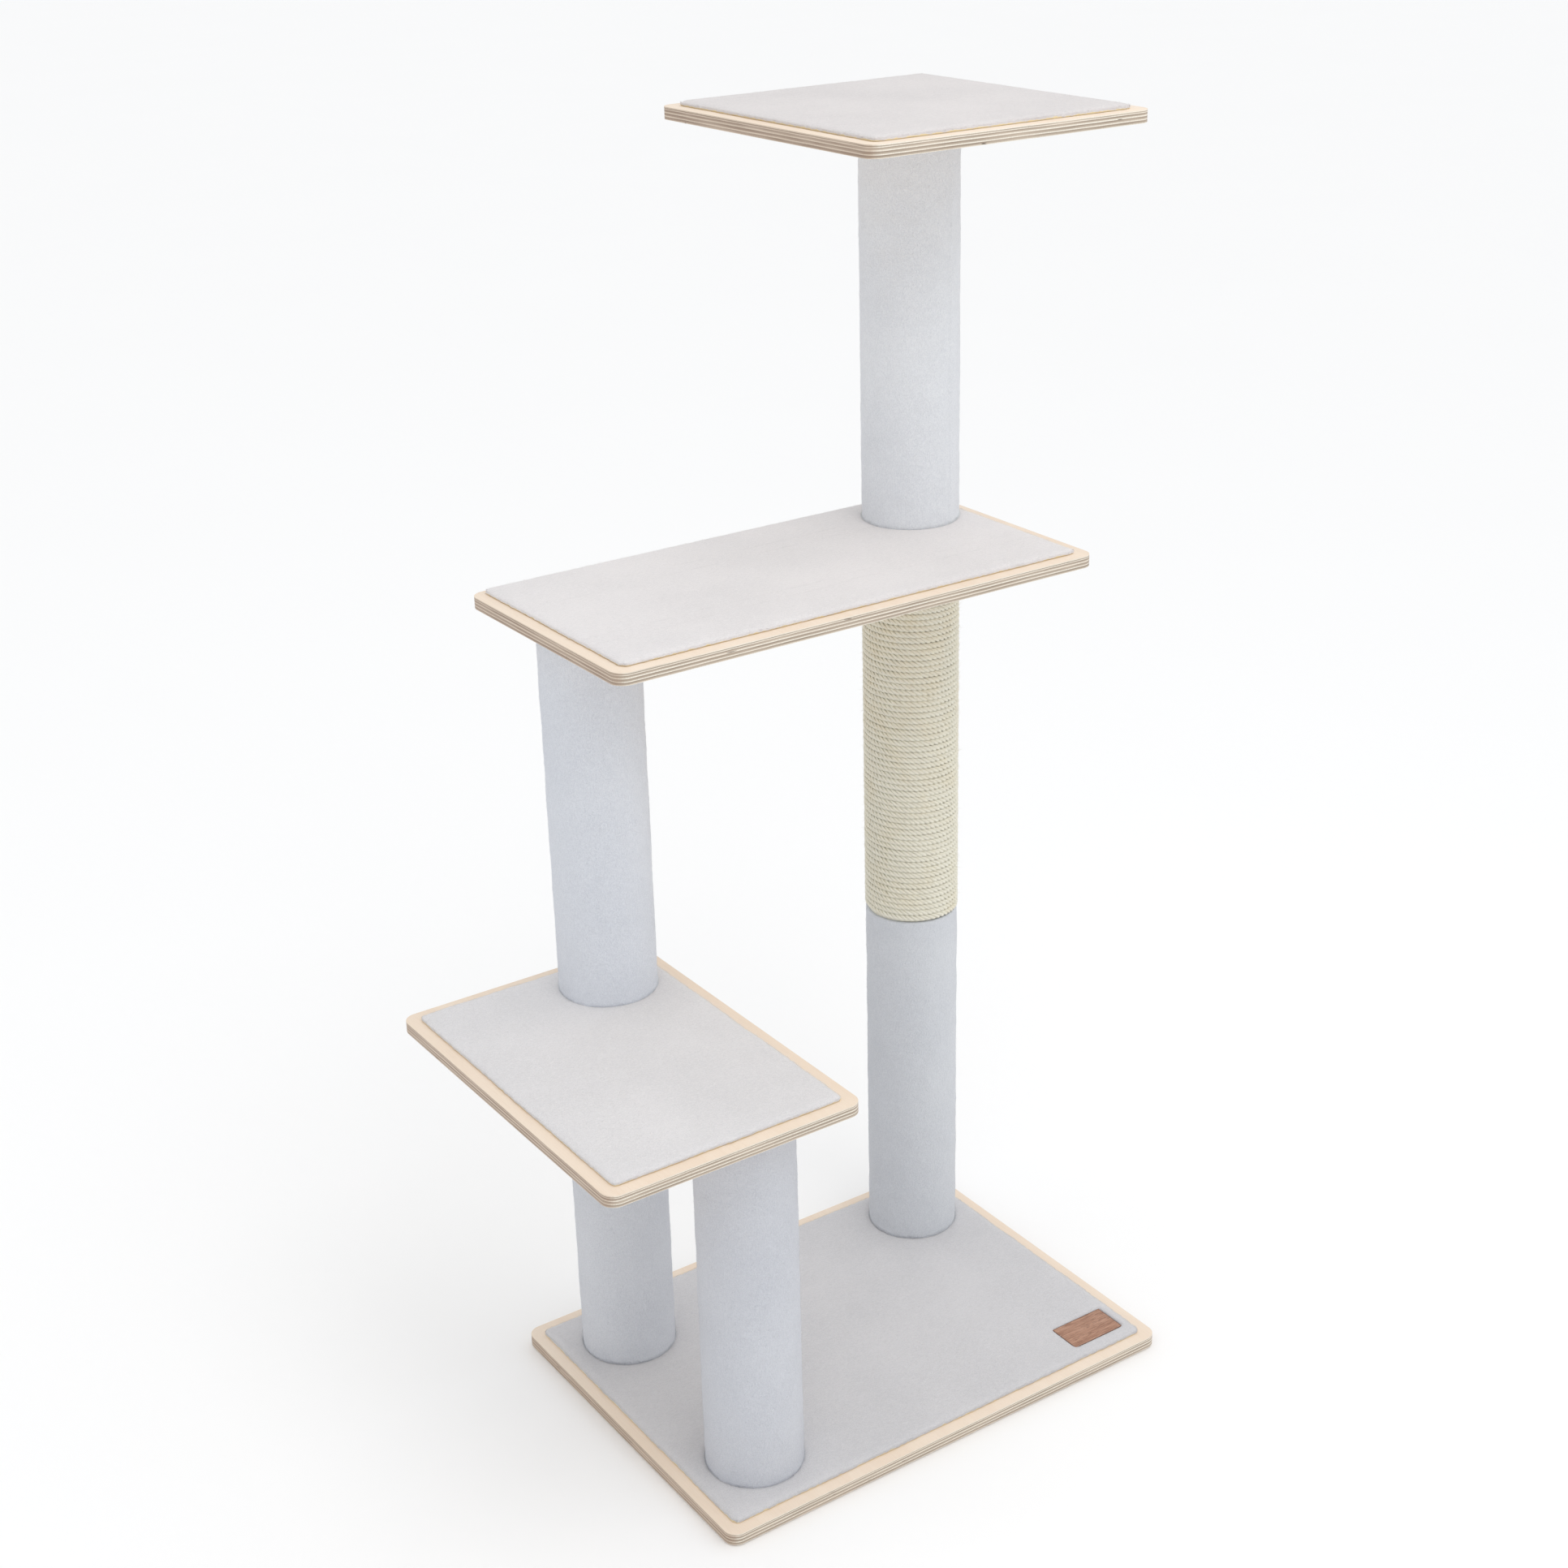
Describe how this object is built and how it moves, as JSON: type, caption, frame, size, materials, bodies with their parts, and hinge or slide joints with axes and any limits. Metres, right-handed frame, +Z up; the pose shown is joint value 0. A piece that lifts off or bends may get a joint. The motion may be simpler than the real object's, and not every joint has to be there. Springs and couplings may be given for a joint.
{
  "type": "cat tree",
  "caption": "Tall free-standing cat tree: plywood base and platforms with pale carpet, round plush-covered posts and a rope-wound scratching post.",
  "frame": {"origin": "middle of the underside of the base felt, on the floor", "axes": "+Z up; +X along the base's 600 mm side; +Y towards the edge near which the two tall columns stand"},
  "size_m": [0.7512, 0.488, 1.411],
  "materials": {
    "plywood": "pale birch plywood, light oil, plies showing at the edges",
    "carpet": "short off-white pile",
    "plush": "soft white plush with a slight blue cast",
    "sisal": "natural three-strand sisal rope",
    "red_wood": "reddish brown open-grained wood, matt",
    "felt": "thin pale felt",
    "cardboard": "spiral-wound cardboard tube",
    "plug_wood": "fibreboard",
    "zinc_steel": "bright zinc plating"
  },
  "bodies": {
    "root": {"base_felt": "felt", "base_board": "plywood", "base_carpet": "carpet", "wooden_plate": "red_wood", "low_board": "plywood", "low_carpet": "carpet", "mid_board": "plywood", "mid_carpet": "carpet", "top_board": "plywood", "top_carpet": "carpet", "front_post_tube": "cardboard", "front_post_plush": "plush", "front_post_lower_plug": "plug_wood", "front_post_upper_plug": "plug_wood", "back_post_tube": "cardboard", "back_post_plush": "plush", "back_post_lower_plug": "plug_wood", "back_post_upper_plug": "plug_wood", "left_upper_post_tube": "cardboard", "left_upper_post_plush": "plush", "left_upper_post_lower_plug": "plug_wood", "left_upper_post_upper_plug": "plug_wood", "tall_post_tube": "cardboard", "tall_post_plush": "plush", "tall_post_lower_plug": "plug_wood", "tall_post_upper_plug": "plug_wood", "scratching_post_tube": "cardboard", "scratching_post_rope": "sisal", "scratching_post_lower_plug": "plug_wood", "scratching_post_upper_plug": "plug_wood", "top_post_tube": "cardboard", "top_post_plush": "plush", "top_post_lower_plug": "plug_wood", "top_post_upper_plug": "plug_wood", "base_bolts": "zinc_steel", "base_washers": "zinc_steel", "platform_bolts": "zinc_steel", "platform_washers": "zinc_steel", "board_studs": "zinc_steel", "column_stud": "zinc_steel", "insert_nuts": "zinc_steel"}
  },
  "joints": []
}
